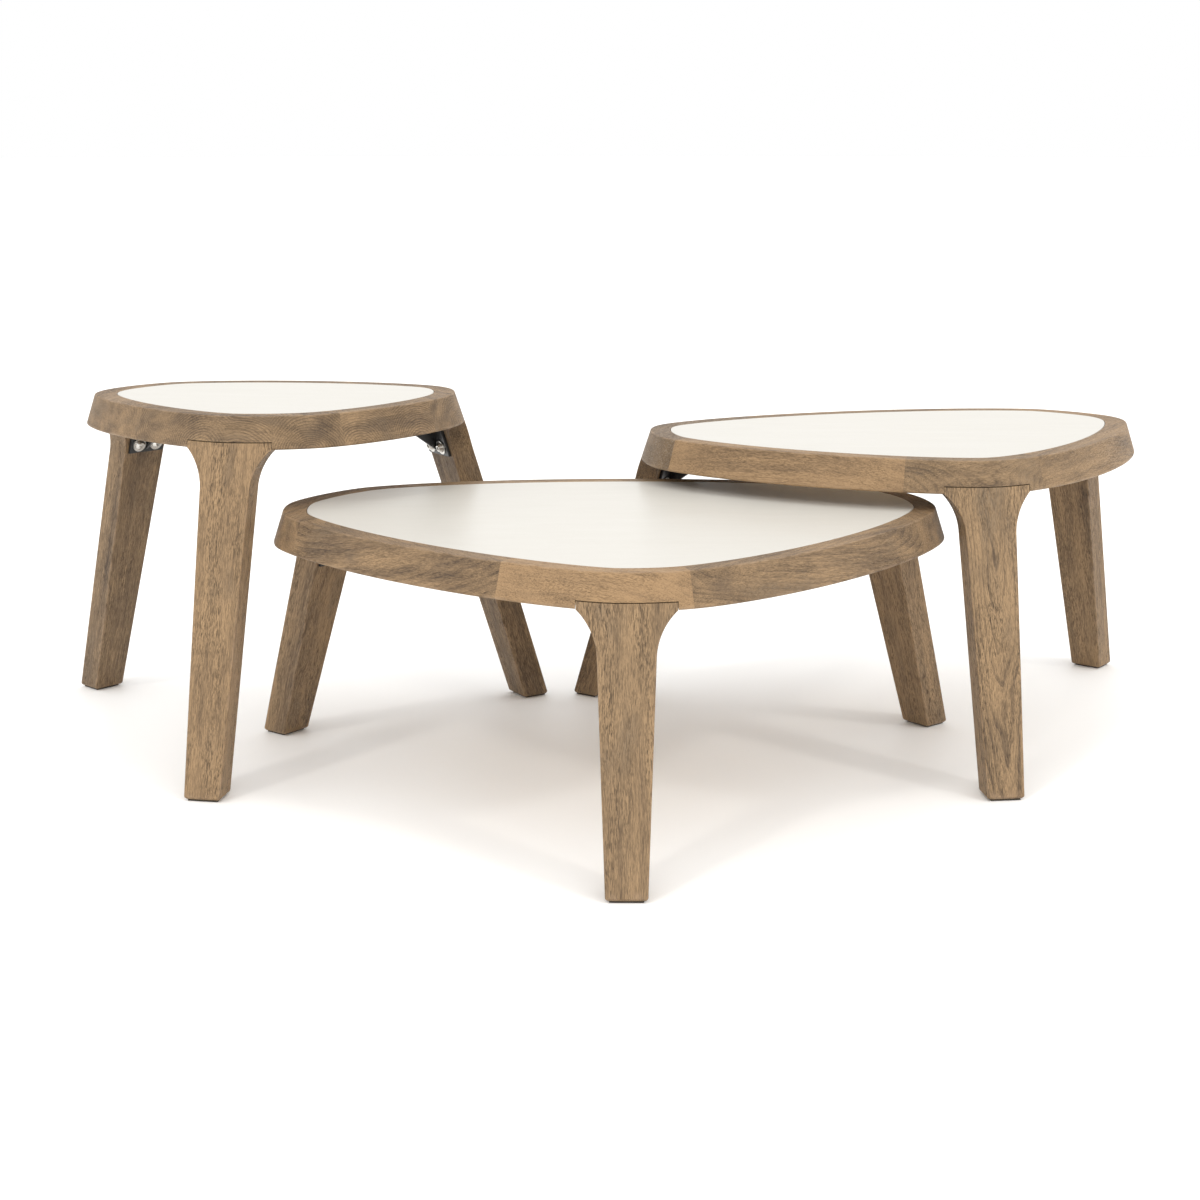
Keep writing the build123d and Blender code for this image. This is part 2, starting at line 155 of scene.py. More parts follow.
def side_off(h, z):
    return BORDER + SLOPE * (h - z)


def inlay_curve(tb):
    # the inlay's edge: the wood is a little wider at the left and right ends
    left, right = tb["wide"]
    m, d = (left + right) / 2, (right - left) / 2
    c = list(tb["c"])
    c[0] -= m / 2
    c[1] -= m / 2
    c[3] -= d / 4
    return c, (tb["at"][0] - 0.75 * d, tb["at"][1])


def meet(tb, a, ci, ati):
    # where the lines in from the outline at a cross another curve
    c, at = tb["c"], tb["at"]
    a = np.asarray(a, float)
    o = outline(c, at, 0.0, a)
    nr = np.stack([np.cos(a), np.sin(a)], -1)

    def miss(b):
        d = outline(ci, ati, 0.0, b) - o
        return -d[:, 0] * nr[:, 1] + d[:, 1] * nr[:, 0]
    lo, hi = a - 1.2, a + 1.2
    top = miss(hi) > 0
    for _ in range(50):
        mid = (lo + hi) / 2
        same = (miss(mid) > 0) == top
        hi = np.where(same, mid, hi)
        lo = np.where(same, lo, mid)
    return (lo + hi) / 2


def inner_run(tb, a0, a1, n):
    # n points along the ring's opening, between the lines in from the outline at a0 and a1
    at = tb["at"]
    ci = inner_c(tb["c"])
    b0, b1 = meet(tb, np.array([a0, a1]), ci, at)
    dense = np.linspace(b0, b1, 800)
    p = outline(ci, at, 0.0, dense)
    s = np.concatenate([[0], np.cumsum(np.hypot(*np.diff(p, axis=0).T))])
    return outline(ci, at, 0.0, np.interp(np.linspace(0, s[-1], n), s, dense))


def spread(tb, a0, a1, step, off=36.0):
    # directions from a0 to a1 whose points lie about step apart along the outline
    dense = np.linspace(a0, a1, 1600)
    p = outline(tb["c"], tb["at"], off, dense)
    s = np.concatenate([[0], np.cumsum(np.hypot(*np.diff(p, axis=0).T))])
    n = max(4, int(math.ceil(s[-1] / step)))
    return np.interp(np.linspace(0, s[-1], n + 1), s, dense)


def fillet(before, corner, after, r, n):
    # an arc of radius r that rounds the corner between two straight lines
    c = np.array(corner, float)
    u = np.array(before, float) - c
    v = np.array(after, float) - c
    u, v = u / np.hypot(*u), v / np.hypot(*v)
    phi = math.acos(max(-1, min(1, float(u @ v))))
    cut = r / math.tan(phi / 2)
    w = (u + v) / np.hypot(*(u + v))
    mid = c + w * r / math.sin(phi / 2)
    p, q = c + u * cut - mid, c + v * cut - mid
    t0 = math.atan2(p[1], p[0])
    dt = (math.atan2(q[1], q[0]) - t0 + math.pi) % (2 * math.pi) - math.pi
    return [mid + r * np.array([math.cos(t0 + dt * k / n), math.sin(t0 + dt * k / n)]) for k in range(n + 1)]


# ---------------------------------------------------------------- mesh helpers
def new_mesh(name, verts, faces):
    me = bpy.data.meshes.new(name)
    me.from_pydata([tuple(float(x) * 0.001 for x in v) for v in verts], [], faces)
    me.validate()
    bm = bmesh.new()
    bm.from_mesh(me)
    bmesh.ops.recalc_face_normals(bm, faces=bm.faces)
    bm.to_mesh(me)
    bm.free()
    ob = bpy.data.objects.new(name, me)
    bpy.context.scene.collection.objects.link(ob)
    return ob


def baked(ob):
    # the object's mesh with its modifiers applied
    bpy.context.view_layer.update()
    dg = bpy.context.evaluated_depsgraph_get()
    me = bpy.data.meshes.new_from_object(ob.evaluated_get(dg))
    old = ob.data
    ob.modifiers.clear()
    ob.data = me
    bpy.data.meshes.remove(old)
    return ob


def cut(ob, cutters):
    for k in cutters:
        m = ob.modifiers.new("cut", "BOOLEAN")
        m.operation = "DIFFERENCE"
        m.solver = "EXACT"
        m.object = k
        baked(ob)
    return ob


def set_vec(me, name, arr):
    at = me.attributes.get(name) or me.attributes.new(name, "FLOAT_VECTOR", "POINT")
    at.data.foreach_set("vector", np.asarray(arr, np.float32).ravel())


def set_val(me, name, arr):
    at = me.attributes.get(name) or me.attributes.new(name, "FLOAT", "POINT")
    at.data.foreach_set("value", np.asarray(arr, np.float32).ravel())


def coords(me):
    co = np.zeros(len(me.vertices) * 3, np.float32)
    me.vertices.foreach_get("co", co)
    return co.reshape(-1, 3).astype(float)


def edge_wear(me):
    # 1 on the rounded edges, 0 on the flats, from how sharply the faces turn
    bm = bmesh.new()
    bm.from_mesh(me)
    out = np.zeros(len(bm.verts))
    for v in bm.verts:
        big = 0.0
        for e in v.link_edges:
            if len(e.link_faces) == 2:
                turn = e.calc_face_angle(0.0)
                big = max(big, turn if turn < 0.9 else 0.0)
        out[v.index] = min(1.0, max(0.0, (big - 0.10) / 0.20))
    bm.free()
    return out


def smooth(ob, deg=34.0):
    me = ob.data
    me.shade_smooth()
    me.set_sharp_from_angle(angle=math.radians(deg))
    m = ob.modifiers.new("weighted", "WEIGHTED_NORMAL")
    m.mode = "FACE_AREA"
    m.weight = 50
    m.keep_sharp = True
    return ob


def unit(v):
    v = np.array(v, float)
    return v / np.linalg.norm(v)


def wood_fields(ob, node, origin, along, up, arcs=None, spots=()):
    # grain: position along and across the fibres; pc: position from the tree's middle
    w = WOOD[node]
    me = ob.data
    co = coords(me)
    along, up = unit(along), unit(up)
    side = unit(np.cross(up, along))
    up = unit(np.cross(along, side))
    t = math.radians(w.get("turn", 0.0))
    along, up = unit(along * math.cos(t) + up * math.sin(t)), unit(up * math.cos(t) - along * math.sin(t))
    d = co - np.array(origin)
    g = np.stack([d @ along, d @ side, d @ up], -1)
    rng = np.random.RandomState(w["seed"])
    shift = rng.uniform(-3.0, 3.0, 3)
    py, pz = w["pith"]
    pc = g - np.array([0.0, py * 0.001, pz * 0.001])
    if arcs:
        # the board is seen nearly end on here, so rings show as arcs round these middles
        best = np.full(len(co), 1e9)
        for centre, out in arcs:
            q = co - np.array(centre)
            tan = unit(np.cross([0, 0, 1], out))
            loc = np.stack([q @ unit(out), q @ tan, q[:, 2]], -1)
            dist = np.hypot(loc[:, 1], loc[:, 2])
            use = dist < best
            best = np.where(use, dist, best)
            pc[use] = loc[use]
    set_vec(me, "grain", g + shift)
    set_vec(me, "pc", pc)
    n = len(co)
    set_vec(me, "look", np.tile([w["tone"], w["warm"], w["ring"]], (n, 1)))
    dark = np.zeros(n)
    for p, rx, rz, k in spots:
        q = co - np.array(p)
        e = (q[:, 0] ** 2 + q[:, 1] ** 2) / rx ** 2 + q[:, 2] ** 2 / rz ** 2
        dark = np.maximum(dark, k * np.exp(-e))
    set_vec(me, "look2", np.stack([np.full(n, w.get("fleck", 0.0)), np.full(n, float(bool(arcs))), dark], -1))
    set_val(me, "edge", edge_wear(me))


# ---------------------------------------------------------------- shader helpers
class Nodes:
    def __init__(self, name):
        self.mat = bpy.data.materials.new(name)
        self.mat.use_nodes = True
        self.nt = self.mat.node_tree
        self.nt.nodes.clear()
        self.out = self.nt.nodes.new("ShaderNodeOutputMaterial")
        self.bsdf = self.nt.nodes.new("ShaderNodeBsdfPrincipled")
        self.nt.links.new(self.bsdf.outputs[0], self.out.inputs[0])

    def put(self, socket, value):
        if isinstance(value, bpy.types.NodeSocket):
            self.nt.links.new(value, socket)
        elif value is not None:
            socket.default_value = value

    def attr(self, name):
        n = self.nt.nodes.new("ShaderNodeAttribute")
        n.attribute_name = name
        return n

    def geo(self):
        return self.nt.nodes.new("ShaderNodeNewGeometry")

    def obj(self):
        return self.nt.nodes.new("ShaderNodeTexCoord").outputs["Object"]

    def m(self, op, a, b=None, c=None, clamp=False):
        n = self.nt.nodes.new("ShaderNodeMath")
        n.operation = op
        n.use_clamp = clamp
        for i, v in enumerate((a, b, c)):
            if v is not None:
                self.put(n.inputs[i], v)
        return n.outputs[0]

    def v(self, op, a, b=None, scale=None):
        n = self.nt.nodes.new("ShaderNodeVectorMath")
        n.operation = op
        self.put(n.inputs[0], a)
        if b is not None:
            self.put(n.inputs[1], b)
        if scale is not None:
            self.put(n.inputs[3], scale)
        return n.outputs["Value"] if op in ("LENGTH", "DOT_PRODUCT", "DISTANCE") else n.outputs["Vector"]

    def split(self, v):
        n = self.nt.nodes.new("ShaderNodeSeparateXYZ")
        self.put(n.inputs[0], v)
        return n.outputs

    def join(self, x, y, z):
        n = self.nt.nodes.new("ShaderNodeCombineXYZ")
        for i, q in enumerate((x, y, z)):
            self.put(n.inputs[i], q)
        return n.outputs[0]

    def noise(self, vec, scale=1.0, detail=2.0, rough=0.5, distort=0.0, color=False):
        n = self.nt.nodes.new("ShaderNodeTexNoise")
        self.put(n.inputs["Vector"], vec)
        n.inputs["Scale"].default_value = scale
        n.inputs["Detail"].default_value = detail
        n.inputs["Roughness"].default_value = rough
        n.inputs["Distortion"].default_value = distort
        return n.outputs["Color"] if color else n.outputs["Fac"]

    def voronoi(self, vec, scale=1.0, feature="F1", rand=1.0):
        n = self.nt.nodes.new("ShaderNodeTexVoronoi")
        n.feature = feature
        self.put(n.inputs["Vector"], vec)
        n.inputs["Scale"].default_value = scale
        n.inputs["Randomness"].default_value = rand
        return n.outputs["Distance"]

    def range(self, v, a, b, c=0.0, d=1.0, smooth=True):
        n = self.nt.nodes.new("ShaderNodeMapRange")
        n.interpolation_type = "SMOOTHSTEP" if smooth else "LINEAR"
        self.put(n.inputs[0], v)
        for i, q in zip((1, 2, 3, 4), (a, b, c, d)):
            self.put(n.inputs[i], q)
        return n.outputs[0]

    def mix(self, fac, a, b, blend="MIX"):
        n = self.nt.nodes.new("ShaderNodeMix")
        n.data_type = "RGBA"
        n.blend_type = blend
        n.clamp_factor = True
        self.put(n.inputs[0], fac)
        for i, q in ((6, a), (7, b)):
            if isinstance(q, (tuple, list)):
                n.inputs[i].default_value = (*q[:3], 1.0)
            else:
                self.put(n.inputs[i], q)
        return n.outputs[2]

    def bump(self, height, dist, strength=1.0, normal=None):
        n = self.nt.nodes.new("ShaderNodeBump")
        n.inputs["Strength"].default_value = strength
        n.inputs["Distance"].default_value = dist
        self.put(n.inputs["Height"], height)
        if normal is not None:
            self.put(n.inputs["Normal"], normal)
        return n.outputs[0]


FILL_BACK, FILL_FRONT, KEY = 1.25, 1.74, 0.42   # studio light strengths

# ---------------------------------------------------------------- wood
LIGHT = (0.355, 0.230, 0.118)
MID = (0.222, 0.143, 0.074)
DARK = (0.080, 0.050, 0.028)
PORE = (0.030, 0.019, 0.012)
GREY = (0.135, 0.103, 0.070)


def wood_material(name, gain=1.0, pore_gain=1.0, fine=1.0, fibre=1.75):
    s = Nodes(name)
    g = s.attr("grain").outputs["Vector"]
    pc = s.attr("pc").outputs["Vector"]
    look = s.split(s.attr("look").outputs["Vector"])
    look2 = s.split(s.attr("look2").outputs["Vector"])
    edge = s.attr("edge").outputs["Fac"]

    def at(x, y, z, base=g):
        return s.v("MULTIPLY", base, (x, y, z))

    # the fibres wander: slow waves and a small wobble
    slow = s.v("SUBTRACT", s.noise(at(7, 24, 24), detail=2, color=True), (0.5, 0.5, 0.5))
    fast = s.v("SUBTRACT", s.noise(at(34, 120, 120), detail=2, color=True), (0.5, 0.5, 0.5))
    bend = s.v("ADD", s.v("MULTIPLY", slow, (0.0, 0.014, 0.014)), s.v("MULTIPLY", fast, (0.0, 0.0016, 0.0016)))
    gw = s.v("ADD", g, bend)
    pw = s.v("ADD", pc, bend)

    # growth rings round the tree's middle
    px = s.split(pw)
    r = s.m("SQRT", s.m("ADD", s.m("MULTIPLY", px[1], px[1]), s.m("MULTIPLY", px[2], px[2])))
    uneven = s.noise(at(5, 30, 30), detail=2)
    rn = s.m("ADD", s.m("MULTIPLY", r, s.m("MULTIPLY_ADD", look2[1], 120.0, 205.0)), s.m("MULTIPLY", uneven, 2.6))
    saw = s.m("FRACT", rn)
    late = s.m("POWER", saw, 2.6)
    fall = s.range(saw, 0.93, 1.0, 1.0, 0.0)
    rings = s.m("MULTIPLY", late, fall)
    rings = s.m("MULTIPLY", rings, s.range(s.noise(at(9, 40, 40), detail=1), 0.30, 0.62, 0.35, 1.0))
    fine_r = s.m("FRACT", s.m("MULTIPLY", rn, 3.07))
    rings = s.m("ADD", rings, s.m("MULTIPLY", s.m("POWER", fine_r, 2.0), 0.28))

    # fibres and pores
    fib = s.noise(s.v("MULTIPLY", gw, (38 * fine, 620 * fine, 620 * fine)), detail=3, rough=0.62)
    hair = s.noise(s.v("MULTIPLY", gw, (150, 2300, 2300)), detail=2, rough=0.6)
    pn = s.noise(s.v("MULTIPLY", gw, (75 * fine, 880 * fine, 880 * fine)), detail=1.5, rough=0.5)
    pore_a = s.range(pn, 0.555, 0.615)
    pn2 = s.noise(s.v("MULTIPLY", s.v("ADD", gw, (3.1, 1.7, 0.4)), (120 * fine, 1500 * fine, 1500 * fine)), detail=1.0, rough=0.5)
    pore_b = s.range(pn2, 0.585, 0.64)
    dense = s.range(s.noise(at(8, 60, 60), detail=2), 0.35, 0.65, 0.45, 1.0)
    pores = s.m("MULTIPLY", s.m("MAXIMUM", pore_a, s.m("MULTIPLY", pore_b, 0.8)), dense, clamp=True)

    # broad colour: heart and sap streaks, cloudy patches
    streak = s.noise(s.v("MULTIPLY", gw, (3.2, 62, 62)), detail=3, rough=0.55)
    cloud = s.noise(at(11, 22, 22), detail=2, rough=0.5)
    f = s.m("ADD", s.m("MULTIPLY", s.m("SUBTRACT", streak, 0.5), 1.35), 0.36)
    f = s.m("ADD", f, s.m("MULTIPLY", s.m("SUBTRACT", cloud, 0.5), 0.60))
    f = s.m("ADD", f, s.m("MULTIPLY", s.m("SUBTRACT", fib, 0.5), fibre))
    f = s.m("ADD", f, s.m("MULTIPLY", s.m("SUBTRACT", hair, 0.5), 0.95))
    f = s.m("SUBTRACT", f, s.m("MULTIPLY", look[0], 0.9))
    f = s.m("ADD", f, s.m("MULTIPLY", s.m("MULTIPLY", rings, look[2]), 0.95), clamp=True)
    low = s.mix(s.range(f, 0.0, 0.5, smooth=False), LIGHT, MID)
    col = s.mix(s.range(f, 0.5, 1.0, smooth=False), low, DARK)

    # grey heartwood patches, and ray fleck where the board is quarter sawn
    grey = s.range(s.noise(s.v("ADD", at(9, 26, 26), (4, 9, 2)), detail=2), 0.52, 0.74)
    grey = s.m("ADD", s.m("MULTIPLY", grey, 0.55), s.m("MULTIPLY", s.m("MULTIPLY", look[1], -1.0), 0.9), clamp=True)
    col = s.mix(grey, col, s.mix(s.range(fib, 0.3, 0.7), GREY, MID))
    fl_n = s.noise(at(420, 160, 420), detail=2)
    fl_m = s.noise(at(120, 520, 900), detail=2)
    fleck = s.m("MULTIPLY", s.m("MULTIPLY", s.range(fl_n, 0.42, 0.60), s.range(fl_m, 0.40, 0.62)), look2[0], clamp=True)
    col = s.mix(s.m("MULTIPLY", fleck, 0.65), col, (0.30, 0.235, 0.165))
    hatch = s.m("MULTIPLY", s.range(s.noise(at(60, 1100, 1100), detail=1), 0.52, 0.64), look2[0])
    col = s.mix(s.m("MULTIPLY", hatch, 0.6), col, DARK)

    # warmth per piece
    warm = s.mix(s.m("MULTIPLY", look[1], 0.8, clamp=True), (1, 1, 1), (1.10, 0.97, 0.84))
    col = s.mix(1.0, col, warm, "MULTIPLY")

    # dark stains and knots, pores last, edges rubbed a little paler
    stain = s.m("MULTIPLY", look2[2], s.range(s.noise(at(60, 240, 240), detail=3), 0.25, 0.6, 0.4, 1.0), clamp=True)
    col = s.mix(stain, col, (0.070, 0.048, 0.034))
    col = s.mix(s.m("MULTIPLY", pores, 0.74 * pore_gain), col, PORE)
    rub = s.m("MULTIPLY", edge, s.range(s.noise(at(70, 70, 70), detail=3), 0.34, 0.66))
    col = s.mix(s.m("MULTIPLY", rub, 0.40), col, (0.40, 0.275, 0.170))
    if gain != 1.0:
        col = s.mix(1.0, col, (gain, gain, gain), "MULTIPLY")
    s.put(s.bsdf.inputs["Base Color"], col)

    rough = s.m("ADD", s.range(fib, 0.2, 0.8, 0.46, 0.62), s.m("MULTIPLY", pores, 0.22))
    rough = s.m("SUBTRACT", rough, s.m("MULTIPLY", rub, 0.08))
    s.put(s.bsdf.inputs["Roughness"], rough)
    s.bsdf.inputs["Specular IOR Level"].default_value = 0.38
    height = s.m("ADD", s.m("MULTIPLY", pores, -1.0), s.m("MULTIPLY", fib, 0.55))
    height = s.m("ADD", height, s.m("MULTIPLY", rings, -0.12))
    s.put(s.bsdf.inputs["Normal"], s.bump(height, 0.00032, 0.75))
    return s.mat


def stone_material():
    s = Nodes("pale_stone")
    p = s.obj()
    cloud = s.noise(s.v("MULTIPLY", p, (2.2, 7.0, 3.0)), detail=4, rough=0.6, distort=0.6)
    drift = s.noise(s.v("MULTIPLY", p, (5.5, 34.0, 9.0)), detail=4, rough=0.62, distort=0.9)
    grit = s.noise(s.v("MULTIPLY", p, (420, 520, 420)), detail=3, rough=0.6)
    speck = s.range(s.noise(s.v("MULTIPLY", p, (900, 900, 900)), detail=1), 0.70, 0.78)
    f = s.m("ADD", s.m("MULTIPLY", s.range(cloud, 0.32, 0.68), 0.55), s.m("MULTIPLY", s.range(drift, 0.34, 0.68), 0.45))
    col = s.mix(f, (0.562, 0.541, 0.492), (0.572, 0.552, 0.505))
    col = s.mix(s.m("MULTIPLY", s.range(grit, 0.35, 0.65), 0.05), col, (0.49, 0.467, 0.425))
    col = s.mix(s.m("MULTIPLY", speck, 0.08), col, (0.44, 0.40, 0.345))
    vein = s.noise(s.v("MULTIPLY", p, (3.0, 14.0, 5.0)), detail=5, rough=0.55, distort=1.6)
    vein = s.m("SUBTRACT", 1.0, s.m("MULTIPLY", s.m("ABSOLUTE", s.m("SUBTRACT", vein, 0.5)), 34.0), clamp=True)
    col = s.mix(s.m("MULTIPLY", vein, 0.07), col, (0.47, 0.443, 0.395))
    s.put(s.bsdf.inputs["Base Color"], col)
    smear = s.noise(s.v("MULTIPLY", p, (9, 40, 9)), detail=3, rough=0.6)
    s.put(s.bsdf.inputs["Roughness"], s.m("ADD", s.range(smear, 0.3, 0.7, 0.29, 0.33), s.m("MULTIPLY", grit, 0.06)))
    s.bsdf.inputs["Specular IOR Level"].default_value = 0.42
    s.put(s.bsdf.inputs["Normal"], s.bump(grit, 0.00001, 0.4))
    return s.mat


def metal_material(name, base, dark, rough, metallic, coat=0.0, scale=1.0):
    s = Nodes(name)
    p = s.obj()
    wide = s.noise(s.v("MULTIPLY", p, (60 * scale,) * 3), detail=3)
    fine = s.noise(s.v("MULTIPLY", p, (900 * scale,) * 3), detail=3, rough=0.65)
    line = s.noise(s.v("MULTIPLY", p, (260, 2600, 260)), detail=2)
    f = s.m("ADD", s.m("MULTIPLY", s.range(wide, 0.3, 0.7), 0.5), s.m("MULTIPLY", s.range(fine, 0.3, 0.7), 0.5))
    col = s.mix(f, dark, base)
    s.put(s.bsdf.inputs["Base Color"], col)
    s.bsdf.inputs["Metallic"].default_value = metallic
    s.put(s.bsdf.inputs["Roughness"], s.m("ADD", rough - 0.06, s.m("MULTIPLY", s.m("ADD", fine, line), 0.09)))
    s.bsdf.inputs["Coat Weight"].default_value = coat
    s.bsdf.inputs["Coat Roughness"].default_value = 0.25
    s.put(s.bsdf.inputs["Normal"], s.bump(s.m("ADD", fine, s.m("MULTIPLY", line, 0.5)), 0.00006, 0.6))
    return s.mat


def ply_material():
    s = Nodes("plywood")
    p = s.obj()
    x = s.split(p)
    face = s.noise(s.v("MULTIPLY", p, (5, 90, 90)), detail=4, rough=0.6)
    fib = s.noise(s.v("MULTIPLY", p, (60, 1300, 1300)), detail=3)
    ply = s.m("GREATER_THAN", s.m("FRACT", s.m("MULTIPLY", x[2], 416.0)), 0.5)
    f = s.m("ADD", s.m("MULTIPLY", s.range(face, 0.3, 0.7), 0.6), s.m("MULTIPLY", fib, 0.4), clamp=True)
    col = s.mix(f, (0.42, 0.30, 0.185), (0.56, 0.42, 0.275))
    nz = s.split(s.geo().outputs["Normal"])[2]
    rim = s.m("SUBTRACT", 1.0, s.m("ABSOLUTE", nz), clamp=True)
    col = s.mix(s.m("MULTIPLY", s.m("MULTIPLY", ply, rim), 0.55), col, (0.26, 0.17, 0.10))
    s.put(s.bsdf.inputs["Base Color"], col)
    s.put(s.bsdf.inputs["Roughness"], s.range(fib, 0.2, 0.8, 0.55, 0.72))
    s.put(s.bsdf.inputs["Normal"], s.bump(fib, 0.0002, 0.5))
    return s.mat


def plain_wood(name, a, b):
    s = Nodes(name)
    p = s.obj()
    fib = s.noise(s.v("MULTIPLY", p, (300, 300, 1400)), detail=3)
    blot = s.noise(s.v("MULTIPLY", p, (30, 30, 60)), detail=3)
    col = s.mix(s.m("ADD", s.m("MULTIPLY", fib, 0.6), s.m("MULTIPLY", blot, 0.4)), a, b)
    s.put(s.bsdf.inputs["Base Color"], col)
    s.put(s.bsdf.inputs["Roughness"], s.range(fib, 0.2, 0.8, 0.5, 0.7))
    s.put(s.bsdf.inputs["Normal"], s.bump(fib, 0.0002, 0.5))
    return s.mat


def glide_material():
    s = Nodes("dark_glide")
    p = s.obj()
    felt = s.noise(s.v("MULTIPLY", p, (1500, 1500, 2400)), detail=4, rough=0.7)
    blot = s.noise(s.v("MULTIPLY", p, (90, 90, 90)), detail=2)
    col = s.mix(s.m("ADD", s.m("MULTIPLY", felt, 0.7), s.m("MULTIPLY", blot, 0.3)), (0.020, 0.016, 0.012), (0.085, 0.068, 0.050))
    s.put(s.bsdf.inputs["Base Color"], col)
    s.put(s.bsdf.inputs["Roughness"], s.range(felt, 0.2, 0.8, 0.75, 0.95))
    s.put(s.bsdf.inputs["Normal"], s.bump(felt, 0.0004, 0.8))
    return s.mat


MATS = {
    "frame_wood": wood_material("frame_wood", gain=0.98, pore_gain=0.52, fine=1.55, fibre=1.25),
    "leg_wood": wood_material("leg_wood", gain=0.96, pore_gain=1.0, fine=1.3, fibre=1.6),
    "pale_stone": stone_material(),
    "plywood": ply_material(),
    "beech": plain_wood("beech", (0.42, 0.27, 0.16), (0.60, 0.42, 0.27)),
    "black_steel": metal_material("black_steel", (0.016, 0.016, 0.017), (0.007, 0.007, 0.008), 0.38, 0.0, coat=0.25),
    "bright_steel": metal_material("bright_steel", (0.78, 0.76, 0.72), (0.52, 0.50, 0.47), 0.26, 1.0),
    "zinc_steel": metal_material("zinc_steel", (0.66, 0.63, 0.55), (0.42, 0.40, 0.35), 0.34, 1.0),
    "dark_glide": glide_material(),
}


# ---------------------------------------------------------------- ring pieces
def ring_section():
    # outer part of the section as (distance out from the inlay's edge, height below the top)
    top_in, top_out, foot = (0.0, 0.0), (BORDER, 0.0), (BORDER + FLARE, -FRAME_T)
    p = [np.array((0.0, -INLAY_T - BASE_T)), np.array((0.0, -INLAY_T)), np.array((0.0, -1.4))]
    p += fillet((0, -10), top_in, (10, 0), 0.5, 2)
    p += [np.array((1.6, 0.0)), np.array((7.5, 0.0)), np.array((14.0, 0.0)), np.array((20.0, 0.0))]
    p += fillet(top_in, top_out, foot, 2.2, 5)
    n = 8
    for k in range(n):
        t = 0.075 + 0.80 * k / (n - 1)
        p.append(np.array((BORDER + FLARE * t, -FRAME_T * t)))
    p += fillet(top_out, foot, (0, -FRAME_T), 2.5, 5)
    p += [np.array((31.0, -FRAME_T)), np.array((20.0, -FRAME_T)), np.array((0.0, -FRAME_T))]
    return p


def ring_piece(name, tb, seg, a0, a1):
    a0, a1 = math.radians(a0), math.radians(a1)
    if a1 < a0:
        a1 += 2 * math.pi
    h = tb["h"]
    a = spread(tb, a0, a1, 4.0)
    sec = ring_section()
    inner = inner_run(tb, a0, a1, len(a))
    cols = []
    cn, atn = inlay_curve(tb)
    lip = outline(cn, atn, 0.0, meet(tb, a, cn, atn))
    rim = outline(tb["c"], tb["at"], BORDER, a)
    for off, dz in sec:
        xy = outline(tb["c"], tb["at"], off, a)
        if off < BORDER and dz > -FRAME_T + 2:
            xy = lip + (rim - lip) * (off / BORDER)
        cols.append(np.column_stack([xy, np.full(len(a), h + dz)]))
    low_in = np.column_stack([inner, np.full(len(a), h - FRAME_T)])
    high_in = np.column_stack([inner, np.full(len(a), h - INLAY_T - BASE_T)])
    o0 = cols[-1]
    cols.append(o0 * 0.5 + low_in * 0.5)
    cols += [low_in, low_in * 0.5 + high_in * 0.5, high_in]
    grid = np.stack(cols, 1)                      # along the outline, round the section
    n, k = grid.shape[:2]
    verts = grid.reshape(-1, 3)
    faces = [(i * k + j, i * k + (j + 1) % k, (i + 1) * k + (j + 1) % k, (i + 1) * k + j)
             for i in range(n - 1) for j in range(k)]
    faces += [tuple(range(k)), tuple((n - 1) * k + j for j in reversed(range(k)))]
    return new_mesh(f"{name}_ring_{seg}_piece", verts, faces)


def leg_frame(tb, deg):
    a = math.radians(deg)
    o = outline(tb["c"], tb["at"], side_off(tb["h"], tb["h"] - FRAME_T), a)
    return np.array([o[0], o[1]]), np.array([math.cos(a), math.sin(a)]), np.array([-math.sin(a), math.cos(a)])


def head_cutter(name, tb, deg):
    o, nx, ty = leg_frame(tb, deg)
    z0 = tb["h"] - FRAME_T
    gap = 1.1
    n0, n1 = -LEG_T - SLOPE * HEAD_UP - gap, 60.0
    w = HEAD_W / 2 + 0.45
    verts = []
    for z in (z0 - 6, z0 + HEAD_UP + gap):
        for n, t in ((n0, -w), (n1, -w), (n1, w), (n0, w)):
            p = o + nx * n + ty * t
            verts.append((p[0], p[1], z))
    return new_mesh(name, verts, [(0, 1, 2, 3), (4, 5, 6, 7), (0, 1, 5, 4), (1, 2, 6, 5), (2, 3, 7, 6), (3, 0, 4, 7)])


